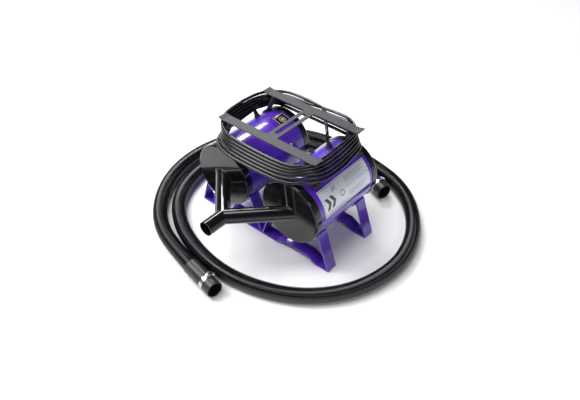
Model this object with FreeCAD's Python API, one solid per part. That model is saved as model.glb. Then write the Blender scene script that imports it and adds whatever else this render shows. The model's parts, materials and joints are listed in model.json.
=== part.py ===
import FreeCAD, Part
import math
import os
from FreeCAD import Vector as V

# Twin-motor force dryer. Millimetres. +X is to the right, air leaves towards -Y, +Z is up.
# The origin is on the floor, under the middle of the machine without its hose and cords.

# Cases: two closed tubes side by side, their axes along Y.
CASE_SPACING = 260.6
CASE_AXIS_Z = 174.5
CASE_LENGTH = 292.6
TUBE_OD = 200.0
TUBE_WALL = 1.6
TUBE_SETBACK = 7.0
CAP_WALL = 1.6
CAP_SKIRT = 22.8
CAP_EDGE_R = 5.0

# Air manifold: a duct leaves the middle of each front cap at 45 degrees, and both join one outlet.
DUCT_OD = 44.5
DUCT_WALL = 1.6
OUTLET_LENGTH = 66.8
DUCT_TURN = math.radians(45.0)

# Rear caps: a slotted air inlet with a foam filter behind it, and a rocker switch above it.
INLET_TO_SWITCH = 26.0
INLET_SLOT = 5.0
INLET_PITCH = 12.0
FILTER_LIP = 8.0
FILTER_THICKNESS = 12.0
FILTER_COLLAR_WALL = 1.5
SWITCH_RISE = 80.0
SWITCH_WIDTH = 28.5
SWITCH_HEIGHT = 20.0
SWITCH_BEZEL = 2.0
SWITCH_RIM = 3.5
SWITCH_DEPTH = 22.0
ROCKER_R = 6.7
ROCKER_GAP = 0.4
ROCKER_CORNER_RISE = 2.3
ROCKER_DIP = 1.2
ROCKER_TILT = 12.0
ROCKER_SINK = 0.3
ROCKER_PIN_R = 1.2
PIN_CLEARANCE = 0.05

# Motors: two-stage through-flow fan motors on a bulkhead ring, blowing towards the front cap.
BULKHEAD_DEPTH = 205.0
BULKHEAD_WALL = 2.0
BULKHEAD_RIM = 14.0
BULKHEAD_HOLE_R = 40.0
MOUNT_SCREW_DEPTH = 213.0
GASKET_THICKNESS = 6.0
GASKET_WIDTH = 14.0
FAN_OD = 145.0
FAN_LENGTH = 62.0
FAN_WALL = 1.2
FAN_EYE_R = 26.0
IMPELLER_R = 64.0
IMPELLER_HEIGHT = 14.0
IMPELLER_SHROUD = 1.0
IMPELLER_BLADES = 8
IMPELLER_GAP = 6.0
BLADE_WALL = 1.2
FRAME_OD = 100.0
FRAME_WALL = 3.0
FRAME_LENGTH = 96.0
FRAME_PLATE = 4.0
STATOR_BORE_R = 27.0
STATOR_LENGTH = 44.0
WINDING_OVERHANG = 8.0
ROTOR_GAP = 2.0
PORT_R = 11.0
PORT_COUNT = 6
ARMATURE_R = 25.5
SHAFT_R = 4.0
COMMUTATOR_R = 13.0
COMMUTATOR_LENGTH = 14.0
BEARING_R = 11.0
BEARING_WIDTH = 7.0
RUNNING_CLEARANCE = 0.04
BRUSH_GAP = 0.3
BRUSH_WIDTH = 8.0
BRUSH_LENGTH = 22.0

# Stands: a cradle strap with two legs under each end of each case, and a base strap for each pair.
STRAP_THICKNESS = 4.8
LEG_WIDTH = 38.1
FRONT_STAND_GAP = 0.5
REAR_STAND_INSET = 82.6
LEG_ANGLE = 32.0
LEG_GAP = 0.4
BASE_JOGGLE = 18.0
JOGGLE_SHARES = (0.23, 0.355, 0.70, 0.815)
STRAP_BEND_R = 9.0

# Cord rack: an H-shaped plate on four leaning posts.
RACK_TOP_Z = 335.5
RACK_THICKNESS = 3.0
RACK_HALF_LENGTH = 182.0
RACK_TIP_LENGTH = 18.0
RACK_TIP_RISE = 4.0
BAR_WIDTH = 31.5
FRONT_BAR_DEPTH = 49.4
REAR_POST_GAP = 0.9
CROSS_WIDTH = 38.0
CROSS_SLOT_WIDTH = 14.0
CROSS_SLOT_MARGIN = 16.0
POST_THICKNESS = 3.2
POST_WIDTH = 27.0
POST_OVERHANG = 3.0
POST_SCREW_INSET = 6.5
POST_TOP_X = 140.0
POST_ANGLE = 61.0
POST_TAB = 18.0
POST_BEND_R = 3.5

# Fasteners.
SCREW_R = 2.0
SCREW_HEAD_R = 3.9
SCREW_HEAD_HEIGHT = 2.4
SCREW_LENGTH = 9.0
POST_SCREW_R = 2.0
POST_SCREW_HEAD_R = 4.4
POST_SCREW_HEAD_HEIGHT = 2.8
HOLE_CLEARANCE = 0.1

# Plates on the tubes.
LABEL_THICKNESS = 0.5
LABEL_ANGLES = (3.0, 52.0)
LABEL_DEPTHS = (42.0, 256.0)
BADGE_SIDE = 48.0
BADGE_ANGLE = 72.0
BADGE_DEPTH = 240.0

# Power cords.
CORD_R = 4.8
GLAND_FLANGE_R = 10.0
GLAND_FLANGE = 3.0
GLAND_ROOT_R = 8.0
GLAND_TIP_R = 6.0
GLAND_LENGTH = 17.0
PLUG_RADIUS = 15.0
PLUG_BODY = 34.0
PLUG_BOOT = 18.0
PLUG_THICKNESS = 24.0
BLADE_LENGTH = 17.0
BLADE_SPACING = 12.7

# Hose with a rubber cuff and a worm-drive clamp on each end.
HOSE_R = 23.0
HOSE_FLOOR_GAP = 0.2
CUFF_R = 25.0
CUFF_LENGTH = 120.0
CUFF_GRIP = 60.0
CUFF_CLEARANCE = 0.2
CLAMP_WIDTH = 12.7
CLAMP_WALL = 0.9
CLAMP_FROM_MOUTH = 36.0
CLAMP_FLOOR_GAP = 0.3

# Worked out from the sizes above.
CASE_X = CASE_SPACING / 2
TUBE_R = TUBE_OD / 2
TUBE_BORE_R = TUBE_R - TUBE_WALL
CAP_R = TUBE_R + CAP_WALL
DUCT_R = DUCT_OD / 2
DUCT_BORE_R = DUCT_R - DUCT_WALL
MANIFOLD_DEPTH = CASE_X / math.tan(DUCT_TURN)
OUTLET_REACH = MANIFOLD_DEPTH + OUTLET_LENGTH
TILT = math.radians(ROCKER_TILT)
ROCKER_CORNER = math.sqrt(ROCKER_R ** 2 - ROCKER_CORNER_RISE ** 2)
ROCKER_TOP = ROCKER_CORNER * math.sin(TILT) + ROCKER_CORNER_RISE * math.cos(TILT)
REAR_STANDOUT = SWITCH_BEZEL - ROCKER_SINK + ROCKER_TOP
FRONT_Y = (OUTLET_REACH - CASE_LENGTH - REAR_STANDOUT) / 2
REAR_Y = FRONT_Y + CASE_LENGTH
FAN_REAR_Y = FRONT_Y + BULKHEAD_DEPTH - GASKET_THICKNESS
FAN_FRONT_Y = FAN_REAR_Y - FAN_LENGTH
FRAME_FRONT_Y = FAN_FRONT_Y - FRAME_LENGTH
RACK_UNDERSIDE = RACK_TOP_Z - RACK_THICKNESS
FRONT_STAND_DEPTH = CAP_SKIRT + FRONT_STAND_GAP
REAR_STAND_DEPTH = CASE_LENGTH - REAR_STAND_INSET
REAR_BAR_DEPTH = CASE_LENGTH - CAP_SKIRT - REAR_POST_GAP - POST_WIDTH + POST_OVERHANG
INLET_R = SWITCH_RISE - INLET_TO_SWITCH
FILTER_R = INLET_R + FILTER_LIP
CUFF_AXIS_Z = CUFF_R + CLAMP_WALL + CLAMP_FLOOR_GAP
HOSE_AXIS_Z = HOSE_R + HOSE_FLOOR_GAP
SIDES = (("left", -1), ("right", 1))
ENDS = (("front", FRONT_STAND_DEPTH, FRONT_BAR_DEPTH), ("rear", REAR_STAND_DEPTH, REAR_BAR_DEPTH))

# Angles, from +X towards +Z, of the screws round each case.
CAP_SCREW_ANGLES = (215.0, 325.0)
MOUNT_SCREW_ANGLES = {"left": (25.0, 155.0), "right": (-6.0, 186.0)}
CRADLE_SCREW_ANGLES = (-60.0, -120.0)

# Where each cord comes out of its case: the angle round the case, and the depth from the front.
GLANDS = {"left": (118.5, CASE_LENGTH - 82.6), "right": (104.0, CASE_LENGTH - 80.6)}

# The cords are wound round the four posts in two coils, one above the other. Each coil has its top and
# bottom as distances under the rack, then its gap to the posts and its width on the -X, +X, front and
# rear sides.
COILS = {
    "left": dict(under=(27.5, 48.5), gaps=(3.0, 4.0, 38.0, 7.0), widths=(19.0, 30.0, 26.0, 19.0)),
    "right": dict(under=(2.9, 27.3), gaps=(17.5, 2.0, 22.0, 16.0), widths=(26.0, 23.0, 22.5, 26.0)),
}
# The lead of each cord runs straight out of the gland, then by these steps from the gland's tip.
LEAD_STRAIGHT = {"left": 9.0, "right": 12.0}
LEAD_STEPS = {
    "left": [],
    "right": [(-7.6, 4.2, 22.0), (-14.6, 11.2, 29.5), (-24.5, 21.2, 33.3), (-37.0, 35.0, 34.4),
              (-50.5, 49.4, 34.2), (-64.0, 65.9, 33.6), (-80.0, 80.0, 33.4)],
}
# The tail of each cord: its X from the middle of the case, how far inside the coil's rear edge it
# starts, how far behind the case the plug hangs, and its steps. A step is its share of the way back
# and its distance under the top of the coil.
TAILS = {
    "left": dict(across=-40.0, inset=8.0, behind=15.4,
                 steps=[(0, 11.0), (0.443, 16.5), (0.814, 27.0), (1, 42.5), (1, 58.5)]),
    "right": dict(across=-28.0, inset=6.0, behind=1.6, steps=[(0, 22.5), (0, 40.0), (1, 59.0), (1, 76.0)]),
}

# The hose, on the floor: it leaves the outer cuff, goes round the machine once and a half, and
# ends in the inner cuff. Heights are added by hose_points.
OUTER_CUFF_MOUTH = (74.0, -301.0)
INNER_CUFF_MOUTH = (197.0, 358.0)
OUTER_CUFF_HEADING = (0.985, -0.17)
INNER_CUFF_HEADING = (0.93, -0.37)
HOSE_ROUTE = [
    (-100, -271), (-245, -227), (-350, -134), (-418, -14), (-438, 121), (-405, 261), (-325, 381),
    (-205, 459), (-60, 481), (75, 463), (205, 431), (310, 351), (385, 236), (412, 101), (375, -44),
    (290, -149), (175, -214), (45, -241), (-84, -225), (-202, -181), (-300, -103), (-352, 11),
    (-362, 141), (-330, 258), (-265, 350), (-178, 410), (-75, 430), (37, 421.6),
]


def solid_of(shape):
    """The one solid of a shape, with coplanar faces joined."""
    clean = shape.removeSplitter()
    return clean.Solids[0] if len(clean.Solids) == 1 else clean


def rod_y(x, z, radius, start, end):
    return Part.makeCylinder(radius, end - start, V(x, start, z), V(0, 1, 0))


def ring_y(x, z, outer, inner, start, end):
    return rod_y(x, z, outer, start, end).cut(rod_y(x, z, inner, start, end))


def block(low, high):
    """A box from its lowest corner to its highest."""
    return Part.makeBox(high[0] - low[0], high[1] - low[1], high[2] - low[2], V(*low))


def plate_xz(points, start, end):
    """A polygon in X and Z, extruded along Y."""
    ring = [V(x, start, z) for x, z in points]
    return Part.Face(Part.makePolygon(ring + ring[:1])).extrude(V(0, end - start, 0))


def ribbon_side(points, bend, offset):
    """Edges along one side of a bent strip in X and Z: straight runs joined by tangent arcs."""
    edges = []
    start = None
    for i, here in enumerate(points):
        if i in (0, len(points) - 1):
            ahead = points[1] - here if i == 0 else here - points[-2]
            ahead.normalize()
            end = here + V(-ahead.z, 0, ahead.x) * offset
            if start is not None:
                edges.append(Part.LineSegment(start, end).toShape())
            start = end
            continue
        before = (here - points[i - 1]).normalize()
        after = (points[i + 1] - here).normalize()
        turn = before.getAngle(after)
        side = 1 if before.z * after.x - before.x * after.z < 0 else -1
        reach = bend * math.tan(turn / 2)
        middle = (after - before).normalize()
        centre = here + middle * (bend / math.cos(turn / 2))
        radius = bend - side * offset
        arc = [centre + (p - centre).normalize() * radius
               for p in (here - before * reach, here, here + after * reach)]
        edges.append(Part.LineSegment(start, arc[0]).toShape())
        edges.append(Part.Arc(*arc).toShape())
        start = arc[2]
    return edges


def strap(path, thickness, bend, start, width):
    """A flat strip of metal bent along a path in X and Z, with its width along Y."""
    points = [V(x, start, z) for x, z in path]
    one = ribbon_side(points, bend, thickness / 2)
    other = ribbon_side(points, bend, -thickness / 2)
    first = Part.LineSegment(one[0].Vertexes[0].Point, other[0].Vertexes[0].Point).toShape()
    last = Part.LineSegment(one[-1].Vertexes[-1].Point, other[-1].Vertexes[-1].Point).toShape()
    wire = Part.Wire(Part.__sortEdges__(one + other + [first, last]))
    return solid_of(Part.Face(wire).extrude(V(0, width, 0)))


def around(side, radius, angle, y):
    """A point round a case: the angle is from +X towards +Z."""
    turn = math.radians(angle)
    return V(side * CASE_X + radius * math.cos(turn), y, CASE_AXIS_Z + radius * math.sin(turn))


def outward(angle):
    turn = math.radians(angle)
    return V(math.cos(turn), 0, math.sin(turn))


def radial_screw(side, angle, y, seat, shank_r, head_r, head_height, length):
    """A button-head screw that points at the case's axis, its head's flat on the seat radius."""
    out = outward(angle)
    head = Part.makeCylinder(head_r, head_height, around(side, seat, angle, y), out)
    top = [e for e in head.Edges if (e.CenterOfMass - around(side, seat + head_height, angle, y)).Length < 0.01]
    head = head.makeFillet(head_height * 0.6, top)
    socket = Part.makeCylinder(head_r * 0.4, head_height / 2, around(side, seat + head_height / 2, angle, y), out)
    shank = Part.makeCylinder(shank_r, length, around(side, seat - length, angle, y), out)
    return solid_of(head.cut(socket).fuse(shank))


def radial_hole(side, angle, y, radius, reach=20.0):
    return Part.makeCylinder(radius + HOLE_CLEARANCE, 2 * reach, around(side, TUBE_R - reach, angle, y), outward(angle))


# Every radial screw: its side, angle, Y, seat radius and length.
def case_screw_places(name, side):
    places = []
    for angle in CAP_SCREW_ANGLES:
        for y in (FRONT_Y + CAP_SKIRT * 0.65, REAR_Y - CAP_SKIRT * 0.65):
            places.append((side, angle, y, CAP_R))
    for angle in MOUNT_SCREW_ANGLES[name]:
        places.append((side, angle, FRONT_Y + MOUNT_SCREW_DEPTH, TUBE_R))
    for angle in CRADLE_SCREW_ANGLES:
        for depth in (FRONT_STAND_DEPTH, REAR_STAND_DEPTH):
            y = FRONT_Y + depth + LEG_WIDTH / 2
            places.append((side, angle, y, TUBE_R + STRAP_THICKNESS))
    return places


def post_angle(side):
    return POST_ANGLE if side > 0 else 180.0 - POST_ANGLE


def post_screw_rows(bar_depth):
    """The Y of each screw in a post's foot tab."""
    start = FRONT_Y + bar_depth - POST_OVERHANG
    return (start + POST_SCREW_INSET, start + POST_WIDTH - POST_SCREW_INSET)


def drilled(shape, name, side):
    """The shape with a hole for each screw of that case."""
    holes = [radial_hole(s, angle, y, SCREW_R) for s, angle, y, seat in case_screw_places(name, side)]
    for _, _, bar_depth in ENDS:
        holes += [radial_hole(side, post_angle(side), y, POST_SCREW_R) for y in post_screw_rows(bar_depth)]
    return solid_of(shape.cut(Part.makeCompound(holes)))


def body_tube(name, side):
    tube = ring_y(side * CASE_X, CASE_AXIS_Z, TUBE_R, TUBE_BORE_R, FRONT_Y + TUBE_SETBACK, REAR_Y - TUBE_SETBACK)
    return drilled(tube, name, side)


def cap_shell(side, face_y, inward):
    """A pressed cap: its flat face at face_y, its skirt towards inward, and a rounded edge."""
    x = side * CASE_X
    outer = Part.makeCylinder(CAP_R, CAP_SKIRT, V(x, face_y, CASE_AXIS_Z), V(0, inward, 0))
    inner = Part.makeCylinder(TUBE_R, CAP_SKIRT, V(x, face_y + inward * CAP_WALL, CASE_AXIS_Z), V(0, inward, 0))

    def rounded(body, y, radius):
        edges = [e for e in body.Edges if e.Closed and abs(e.BoundBox.YMin - y) < 0.01 and e.BoundBox.YLength < 0.01]
        return body.makeFillet(radius, edges)

    outer = rounded(outer, face_y, CAP_EDGE_R)
    inner = rounded(inner, face_y + inward * CAP_WALL, CAP_EDGE_R - CAP_WALL)
    return outer.cut(inner)


def duct_line(side):
    """A point beyond the cap's face, and the direction in which the duct runs to the outlet."""
    direction = V(-side * math.sin(DUCT_TURN), -math.cos(DUCT_TURN), 0)
    return V(side * CASE_X, FRONT_Y, CASE_AXIS_Z) - direction * DUCT_OD, direction


def duct_rod(side, radius):
    start, direction = duct_line(side)
    return Part.makeCylinder(radius, MANIFOLD_DEPTH / math.cos(DUCT_TURN) + 3 * DUCT_OD, start, direction)


def front_cap(name, side):
    cap = cap_shell(side, FRONT_Y, 1)
    return drilled(cap.cut(duct_rod(side, DUCT_BORE_R)), name, side)


def mitre_block(side):
    """The space on the outlet's side of a duct's mitre: past it, the air goes straight along -Y."""
    size = 4 * DUCT_OD
    slope = DUCT_TURN / 2
    joint_y = FRONT_Y - MANIFOLD_DEPTH
    near = V(0, joint_y, 0)
    far = V(side * size, joint_y - size * math.tan(slope), 0)
    deep = V(0, -size, 0)
    ring = [near, far, far + deep, near + deep, near]
    return Part.Face(Part.makePolygon(ring)).extrude(V(0, 0, CASE_AXIS_Z + DUCT_OD))


def duct(side):
    pipe = duct_rod(side, DUCT_R).cut(duct_rod(side, DUCT_BORE_R))
    span = 2 * CASE_X
    room = block((min(0, side * span), FRONT_Y - OUTLET_REACH, 0), (max(0, side * span), FRONT_Y, CASE_AXIS_Z * 2))
    return solid_of(pipe.common(room).cut(mitre_block(side)))


def outlet_pipe():
    start, end = FRONT_Y - OUTLET_REACH, FRONT_Y - MANIFOLD_DEPTH + DUCT_OD
    pipe = ring_y(0, CASE_AXIS_Z, DUCT_R, DUCT_BORE_R, start, end)
    return solid_of(pipe.common(mitre_block(-1).fuse(mitre_block(1)).removeSplitter()))


def switch_centre_z():
    return CASE_AXIS_Z + SWITCH_RISE


def rear_cap(name, side):
    x = side * CASE_X
    cap = cap_shell(side, REAR_Y, -1)
    collar = ring_y(x, CASE_AXIS_Z, FILTER_R + FILTER_COLLAR_WALL, FILTER_R + HOLE_CLEARANCE,
                    REAR_Y - CAP_WALL - FILTER_THICKNESS, REAR_Y - CAP_WALL)
    cuts = []
    count = int((INLET_R - INLET_SLOT) // INLET_PITCH)
    for i in range(-count, count + 1):
        z = CASE_AXIS_Z + i * INLET_PITCH
        half = math.sqrt(INLET_R ** 2 - (i * INLET_PITCH) ** 2) - INLET_SLOT / 2
        start, end = REAR_Y - 2 * CAP_WALL, REAR_Y + CAP_WALL
        cuts.append(block((x - half, start, z - INLET_SLOT / 2), (x + half, end, z + INLET_SLOT / 2)))
        cuts += [rod_y(x + s * half, z, INLET_SLOT / 2, start, end) for s in (-1, 1)]
    half_x = SWITCH_WIDTH / 2 - SWITCH_RIM / 2 + HOLE_CLEARANCE
    half_z = SWITCH_HEIGHT / 2 - SWITCH_RIM / 2 + HOLE_CLEARANCE
    cuts.append(block((x - half_x, REAR_Y - 2 * CAP_WALL, switch_centre_z() - half_z),
                      (x + half_x, REAR_Y + CAP_WALL, switch_centre_z() + half_z)))
    return drilled(cap.fuse(collar).cut(Part.makeCompound(cuts)), name, side)


def air_filter(side):
    y = REAR_Y - CAP_WALL - HOLE_CLEARANCE
    return rod_y(side * CASE_X, CASE_AXIS_Z, FILTER_R, y - FILTER_THICKNESS, y)


def rocker_pivot(side):
    return V(side * CASE_X, REAR_Y + SWITCH_BEZEL - ROCKER_SINK, switch_centre_z())


def rocker_half_width():
    return SWITCH_WIDTH / 2 - SWITCH_RIM - ROCKER_GAP


def switch_body(side):
    x, z = side * CASE_X, switch_centre_z()
    half_x, half_z = SWITCH_WIDTH / 2, SWITCH_HEIGHT / 2
    trim = SWITCH_RIM / 2
    bezel = block((x - half_x, REAR_Y, z - half_z), (x + half_x, REAR_Y + SWITCH_BEZEL, z + half_z))
    edges = [e for e in bezel.Edges if e.BoundBox.YLength > SWITCH_BEZEL - 0.01]
    bezel = bezel.makeFillet(trim, edges)
    box = block((x - half_x + trim, REAR_Y - SWITCH_DEPTH, z - half_z + trim),
                (x + half_x - trim, REAR_Y, z + half_z - trim))
    room_x = rocker_half_width() + ROCKER_GAP
    room_z = ROCKER_R + ROCKER_GAP
    room = block((x - room_x, REAR_Y - ROCKER_R - ROCKER_GAP, z - room_z),
                 (x + room_x, REAR_Y + 2 * SWITCH_BEZEL, z + room_z))
    pivot = rocker_pivot(side)
    pin = Part.makeCylinder(ROCKER_PIN_R, 2 * room_x, pivot - V(room_x, 0, 0), V(1, 0, 0))
    terminals = [block((x + s * 5.0 - 0.4, REAR_Y - SWITCH_DEPTH - 8.0, z - 3.0),
                       (x + s * 5.0 + 0.4, REAR_Y - SWITCH_DEPTH, z + 3.0)) for s in (-1, 1)]
    body = bezel.fuse([box] + terminals).cut(room).fuse(pin)
    return solid_of(body)


def switch_rocker(side):
    """The rocker, at its off position: its lower half stands out."""
    pivot = rocker_pivot(side)
    half = rocker_half_width()
    start = pivot - V(half, 0, 0)
    high = start + V(0, ROCKER_CORNER_RISE, ROCKER_CORNER)
    low = start + V(0, ROCKER_CORNER_RISE, -ROCKER_CORNER)
    dip = start + V(0, ROCKER_DIP + ROCKER_PIN_R, 0)
    edges = [Part.Arc(low, start - V(0, ROCKER_R, 0), high), Part.LineSegment(high, dip), Part.LineSegment(dip, low)]
    wire = Part.Wire([e.toShape() for e in edges])
    body = Part.Face(wire).extrude(V(2 * half, 0, 0))
    bore = Part.makeCylinder(ROCKER_PIN_R + PIN_CLEARANCE, 2 * half, start, V(1, 0, 0))
    body = body.cut(bore)
    body.rotate(pivot, V(1, 0, 0), -ROCKER_TILT)
    return solid_of(body)


def motor_bulkhead(name, side):
    x, y = side * CASE_X, FRONT_Y + BULKHEAD_DEPTH
    radius = TUBE_BORE_R - HOLE_CLEARANCE
    disc = ring_y(x, CASE_AXIS_Z, radius, BULKHEAD_HOLE_R, y, y + BULKHEAD_WALL)
    rim = ring_y(x, CASE_AXIS_Z, radius, radius - BULKHEAD_WALL, y, y + BULKHEAD_RIM)
    return drilled(disc.fuse(rim), name, side)


def motor_gaskets():
    rings = [ring_y(side * CASE_X, CASE_AXIS_Z, FAN_OD / 2, FAN_OD / 2 - GASKET_WIDTH,
                    FAN_REAR_Y, FAN_REAR_Y + GASKET_THICKNESS) for _, side in SIDES]
    return Part.makeCompound(rings)


def fan_shell(side):
    """The fan's pressed cover, and the plate between its two stages as a solid of its own."""
    x = side * CASE_X
    outer = FAN_OD / 2
    cover = rod_y(x, CASE_AXIS_Z, outer, FAN_FRONT_Y, FAN_REAR_Y)
    room = rod_y(x, CASE_AXIS_Z, outer - FAN_WALL, FAN_FRONT_Y, FAN_REAR_Y - FAN_WALL)
    cover = cover.cut(room).cut(rod_y(x, CASE_AXIS_Z, FAN_EYE_R, FAN_FRONT_Y, FAN_REAR_Y))
    middle = (FAN_FRONT_Y + FAN_REAR_Y) / 2
    plate = ring_y(x, CASE_AXIS_Z, outer - FAN_WALL, FAN_EYE_R, middle - FAN_WALL / 2, middle + FAN_WALL / 2)
    return Part.makeCompound([cover, plate])


def impeller(side, start):
    """Two shrouds with straight raked blades between them and a hub on the shaft."""
    x = side * CASE_X
    end = start + IMPELLER_HEIGHT
    front = ring_y(x, CASE_AXIS_Z, IMPELLER_R, SHAFT_R, start, start + IMPELLER_SHROUD)
    rear = ring_y(x, CASE_AXIS_Z, IMPELLER_R, FAN_EYE_R - IMPELLER_SHROUD, end - IMPELLER_SHROUD, end)
    hub = ring_y(x, CASE_AXIS_Z, SHAFT_R * 2.5, SHAFT_R, start, end)
    blades = []
    for i in range(IMPELLER_BLADES):
        blade = block((FAN_EYE_R, start, -BLADE_WALL / 2), (IMPELLER_R - BLADE_WALL, end, BLADE_WALL / 2))
        blade.rotate(V(FAN_EYE_R, 0, 0), V(0, 1, 0), 22.0)
        blade.rotate(V(0, 0, 0), V(0, 1, 0), 360.0 * i / IMPELLER_BLADES)
        blade.translate(V(x, 0, CASE_AXIS_Z))
        blades.append(blade)
    limit = rod_y(x, CASE_AXIS_Z, IMPELLER_R, start, end)
    return solid_of(front.fuse([rear, hub] + blades).common(limit))


def impellers(side):
    middle = (FAN_FRONT_Y + FAN_REAR_Y) / 2
    second = middle - FAN_WALL - IMPELLER_GAP / 2 - IMPELLER_HEIGHT
    first = middle + FAN_WALL + IMPELLER_GAP / 2
    return Part.makeCompound([impeller(side, second), impeller(side, first)])


def motor_frame(side):
    """The cast frame: a plate that closes the fan, a barrel, and an end plate, with bearing seats."""
    x = side * CASE_X
    outer = FRAME_OD / 2
    plate = rod_y(x, CASE_AXIS_Z, FAN_OD / 2, FAN_FRONT_Y - FRAME_PLATE, FAN_FRONT_Y)
    barrel = rod_y(x, CASE_AXIS_Z, outer, FRAME_FRONT_Y, FAN_FRONT_Y)
    room = rod_y(x, CASE_AXIS_Z, outer - FRAME_WALL, FRAME_FRONT_Y + FRAME_PLATE, FAN_FRONT_Y - FRAME_PLATE)
    seat = BEARING_R + FRAME_WALL
    bosses = [rod_y(x, CASE_AXIS_Z, seat, FRAME_FRONT_Y, FRAME_FRONT_Y + BEARING_WIDTH),
              rod_y(x, CASE_AXIS_Z, seat, FAN_FRONT_Y - BEARING_WIDTH, FAN_FRONT_Y)]
    bore = rod_y(x, CASE_AXIS_Z, BEARING_R, FRAME_FRONT_Y, FAN_FRONT_Y)
    ports = []
    port_at = (outer - FRAME_WALL + seat) / 2
    for i in range(PORT_COUNT):
        turn = math.radians(360.0 / PORT_COUNT * (i + 0.5))
        ports.append(rod_y(x + port_at * math.cos(turn), CASE_AXIS_Z + port_at * math.sin(turn), PORT_R,
                           FRAME_FRONT_Y, FAN_FRONT_Y))
    body = plate.fuse(barrel).cut(room).fuse(bosses).cut(Part.makeCompound([bore] + ports))
    return solid_of(body)


def stator_start():
    return FAN_FRONT_Y - BEARING_WIDTH - ROTOR_GAP - WINDING_OVERHANG - STATOR_LENGTH


def stator(side):
    x, start = side * CASE_X, stator_start()
    outer = FRAME_OD / 2 - FRAME_WALL
    core = ring_y(x, CASE_AXIS_Z, outer, STATOR_BORE_R, start, start + STATOR_LENGTH)
    windings = ring_y(x, CASE_AXIS_Z, outer - 6.0, STATOR_BORE_R + 4.0,
                      start - WINDING_OVERHANG, start + STATOR_LENGTH + WINDING_OVERHANG)
    return solid_of(core.fuse(windings))


def commutator_start():
    return FRAME_FRONT_Y + BEARING_WIDTH + ROTOR_GAP


def armature(side):
    x, start = side * CASE_X, stator_start()
    shaft = rod_y(x, CASE_AXIS_Z, SHAFT_R, FRAME_FRONT_Y - 2.0, FAN_REAR_Y - FAN_WALL - IMPELLER_GAP / 2)
    core = rod_y(x, CASE_AXIS_Z, ARMATURE_R, start, start + STATOR_LENGTH)
    coils = rod_y(x, CASE_AXIS_Z, ARMATURE_R - 3.0, start - 4.0, start + STATOR_LENGTH + 4.0)
    commutator = rod_y(x, CASE_AXIS_Z, COMMUTATOR_R, commutator_start(), commutator_start() + COMMUTATOR_LENGTH)
    return solid_of(shaft.fuse([core, coils, commutator]))


def bearings(side):
    x = side * CASE_X
    bore = SHAFT_R + RUNNING_CLEARANCE
    starts = (FRAME_FRONT_Y, FAN_FRONT_Y - BEARING_WIDTH)
    return Part.makeCompound([ring_y(x, CASE_AXIS_Z, BEARING_R, bore, s, s + BEARING_WIDTH) for s in starts])


def carbon_brushes():
    y = commutator_start() + (COMMUTATOR_LENGTH - BRUSH_WIDTH) / 2
    solids = []
    for _, side in SIDES:
        for way in (-1, 1):
            near = side * CASE_X + way * (COMMUTATOR_R + BRUSH_GAP)
            far = near + way * BRUSH_LENGTH
            solids.append(block((min(near, far), y, CASE_AXIS_Z - BRUSH_WIDTH / 2),
                                (max(near, far), y + BRUSH_WIDTH, CASE_AXIS_Z + BRUSH_WIDTH / 2)))
    return Part.makeCompound(solids)


def cradle_strap(name, side, depth):
    """A strap that hugs the underside of the case, folds back at each side and comes down as a leg."""
    start, end = FRONT_Y + depth, FRONT_Y + depth + LEG_WIDTH
    x, z = side * CASE_X, CASE_AXIS_Z
    outer = TUBE_R + STRAP_THICKNESS
    saddle = ring_y(x, z, outer, TUBE_R, start, end)
    reach = 2 * outer
    wedge = [(x, z)]
    for angle in (-180.0 + LEG_ANGLE, -90.0, -LEG_ANGLE):
        away = outward(angle) * reach
        wedge.append((x + away.x, z + away.z))
    saddle = saddle.common(plate_xz(wedge, start, end))
    parts = []
    for way in (-1, 1):
        angle = -LEG_ANGLE if way > 0 else -180.0 + LEG_ANGLE
        fold = around(side, TUBE_R + STRAP_THICKNESS / 2, angle, start)
        foot_face = x + way * (CASE_X - LEG_GAP)
        lean = math.atan2(abs(foot_face - fold.x), fold.z)
        half = STRAP_THICKNESS / 2
        foot_half = half / math.cos(lean)
        foot = foot_face - way * foot_half
        lean = math.atan2(abs(foot - fold.x), fold.z - STRAP_THICKNESS)
        normal = V(math.cos(lean), 0, way * math.sin(lean)) * half
        leg = [(foot - foot_half, STRAP_THICKNESS), (foot + foot_half, STRAP_THICKNESS),
               (fold.x + normal.x, fold.z + normal.z), (fold.x - normal.x, fold.z - normal.z)]
        parts.append(plate_xz(leg, start, end))
        parts.append(rod_y(fold.x, fold.z, half, start, end))
    return drilled(saddle.fuse(parts), name, side)


def base_strap(depth):
    end = 2 * CASE_X - LEG_GAP
    low = STRAP_THICKNESS / 2
    high = low + BASE_JOGGLE
    shares = JOGGLE_SHARES
    half = [(end * shares[0], low), (end * shares[1], high), (end * shares[2], high), (end * shares[3], low), (end, low)]
    path = [(-x, z) for x, z in reversed(half)] + half
    return strap(path, STRAP_THICKNESS, STRAP_BEND_R, FRONT_Y + depth, LEG_WIDTH)


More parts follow.
